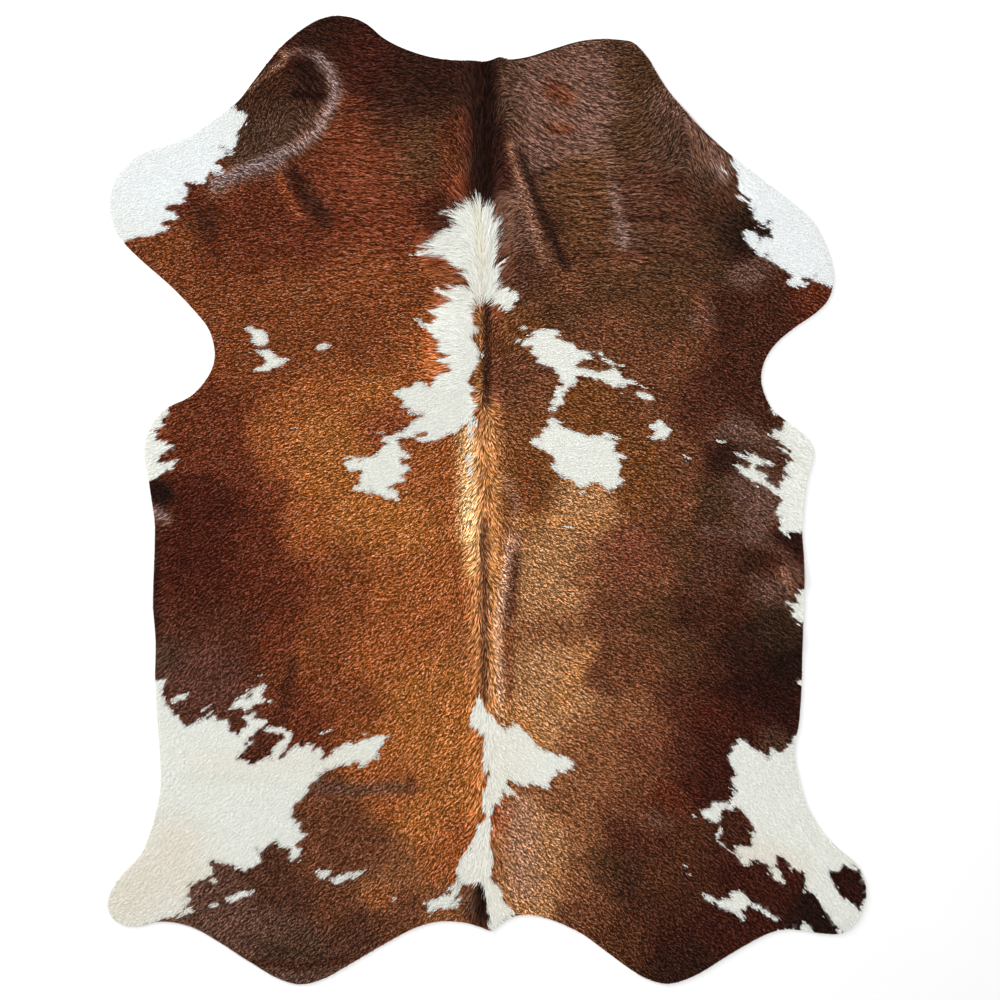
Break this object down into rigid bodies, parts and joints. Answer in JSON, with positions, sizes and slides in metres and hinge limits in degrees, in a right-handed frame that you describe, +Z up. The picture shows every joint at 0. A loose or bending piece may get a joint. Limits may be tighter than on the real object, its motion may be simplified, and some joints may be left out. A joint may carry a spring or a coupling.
{
  "type": "cowhide rug",
  "caption": "Whole hair-on cowhide rug lying flat, trimmed to the natural outline of neck, legs, belly and rump, brown and white, with low buckles in the skin.",
  "frame": {"origin": "on the floor, under the middle of the hide's bounding box", "axes": "+Z up out of the hair side, +Y from the rump to the neck along the backbone, +X to the side that is on the right when the rug is seen from above with its neck away from the viewer"},
  "size_m": [1.7608, 2.25, 0.021],
  "materials": {
    "cow_hair": "hair-on hide: short glossy cow hair in reddish brown, dark brown and golden tan with white patches, pale suede underside"
  },
  "bodies": {
    "root": {"hide": "cow_hair"}
  },
  "joints": []
}
